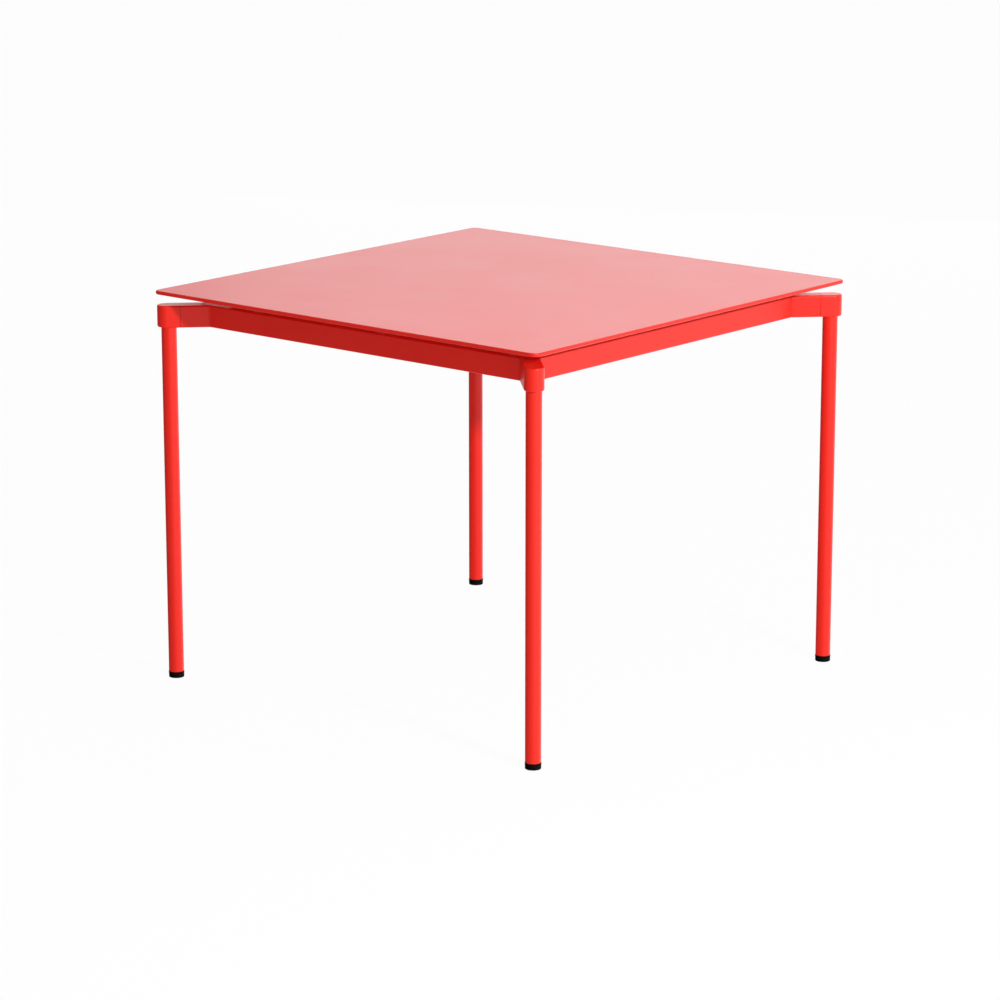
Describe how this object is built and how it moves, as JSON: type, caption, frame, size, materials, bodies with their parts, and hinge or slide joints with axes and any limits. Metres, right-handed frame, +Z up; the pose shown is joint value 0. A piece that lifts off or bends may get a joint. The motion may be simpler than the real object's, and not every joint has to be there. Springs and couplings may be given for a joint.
{
  "type": "square dining table",
  "caption": "Square metal dining table with a thin floating top, an inset tube frame, corner arms, slim round legs and screw-in levelling glides.",
  "frame": {"origin": "on the floor, below the middle of the square top", "axes": "+Z up, +X to the right and -Y to the front, each along two sides of the top"},
  "size_m": [0.9, 0.9, 0.73],
  "materials": {
    "red_coat": "satin",
    "steel": "satin",
    "black_plastic": "satin"
  },
  "bodies": {
    "table": {"table_top": "red_coat", "rail_front": "red_coat", "rail_right": "red_coat", "rail_back": "red_coat", "rail_left": "red_coat", "corner_arm_front_left": "red_coat", "corner_arm_front_right": "red_coat", "corner_arm_back_left": "red_coat", "corner_arm_back_right": "red_coat", "leg_head_front_left": "red_coat", "leg_head_front_right": "red_coat", "leg_head_back_left": "red_coat", "leg_head_back_right": "red_coat", "leg_tube_front_left": "red_coat", "leg_tube_front_right": "red_coat", "leg_tube_back_left": "red_coat", "leg_tube_back_right": "red_coat", "bearer_front": "red_coat", "bearer_middle": "red_coat", "bearer_back": "red_coat", "head_screws": "steel", "bearer_bolts": "steel", "bearer_nuts": "steel", "top_studs": "steel", "top_nuts": "steel", "leg_insert_front_left": "black_plastic", "leg_insert_front_right": "black_plastic", "leg_insert_back_left": "black_plastic", "leg_insert_back_right": "black_plastic"},
    "glide_front_left": {"glide_pad_front_left": "black_plastic", "glide_stem_front_left": "steel"},
    "glide_front_right": {"glide_pad_front_right": "black_plastic", "glide_stem_front_right": "steel"},
    "glide_back_left": {"glide_pad_back_left": "black_plastic", "glide_stem_back_left": "steel"},
    "glide_back_right": {"glide_pad_back_right": "black_plastic", "glide_stem_back_right": "steel"}
  },
  "joints": [
    {"name": "glide_front_left_screw", "type": "slide", "parent": "table", "child": "glide_front_left", "axis": [0, 0, -1], "range_m": [0, 0.01]},
    {"name": "glide_front_right_screw", "type": "slide", "parent": "table", "child": "glide_front_right", "axis": [0, 0, -1], "range_m": [0, 0.01]},
    {"name": "glide_back_left_screw", "type": "slide", "parent": "table", "child": "glide_back_left", "axis": [0, 0, -1], "range_m": [0, 0.01]},
    {"name": "glide_back_right_screw", "type": "slide", "parent": "table", "child": "glide_back_right", "axis": [0, 0, -1], "range_m": [0, 0.01]}
  ]
}
